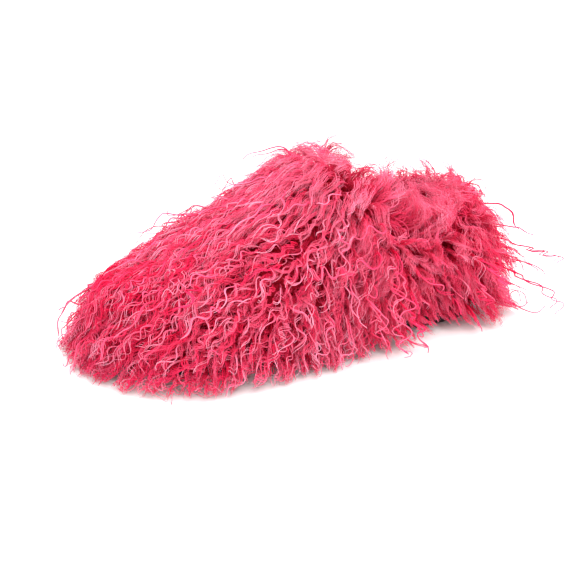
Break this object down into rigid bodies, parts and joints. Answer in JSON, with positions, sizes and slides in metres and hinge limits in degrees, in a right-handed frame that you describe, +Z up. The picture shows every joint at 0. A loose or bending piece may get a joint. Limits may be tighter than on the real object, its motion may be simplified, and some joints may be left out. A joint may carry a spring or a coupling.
{
  "type": "fluffy house slipper",
  "caption": "Closed-back slip-on house slipper in long curly faux fur over a soft lined upper, on a black sole that bends at the ball of the foot.",
  "frame": {"origin": "on the ground under the middle of the pile's outline", "axes": "+X towards the toe, +Y towards the outer side of a left foot, +Z up"},
  "size_m": [0.3038, 0.168, 0.1183],
  "materials": {
    "fur_pink": "long curly pile",
    "rubber_black": "matte, grooved",
    "eva_black": "fine closed-cell foam",
    "fibreboard": "pressed fibre",
    "foam_cream": "open-cell foam",
    "suede_tan": "brushed suede cloth",
    "stiffener": "matte thermoplastic sheet",
    "tape_pink": "ribbed tape",
    "thread_pink": "twisted thread"
  },
  "bodies": {
    "forefoot": {"forefoot_outsole": "rubber_black", "front_insole_board": "fibreboard", "toe_puff": "stiffener", "vamp_fur": "fur_pink", "vamp_lining": "suede_tan"},
    "rear": {"heel_outsole": "rubber_black", "rear_insole_board": "fibreboard", "midsole": "eva_black", "footbed_foam": "foam_cream", "sock_liner": "suede_tan", "lateral_quarter_fur": "fur_pink", "medial_quarter_fur": "fur_pink", "lateral_quarter_lining": "suede_tan", "medial_quarter_lining": "suede_tan", "heel_lining": "suede_tan", "heel_counter": "stiffener", "collar_foam": "foam_cream", "topline_binding": "tape_pink", "topline_thread": "thread_pink", "lateral_seam_thread": "thread_pink", "medial_seam_thread": "thread_pink", "back_seam_thread": "thread_pink"}
  },
  "joints": [
    {"name": "forefoot_flex", "type": "hinge", "parent": "forefoot", "child": "rear", "pos_m": [0.05, 0, 0.0152], "axis": [0, 1, 0], "range_deg": [0, 40], "deforming": ["midsole", "footbed_foam", "sock_liner", "vamp_fur", "vamp_lining"]}
  ]
}
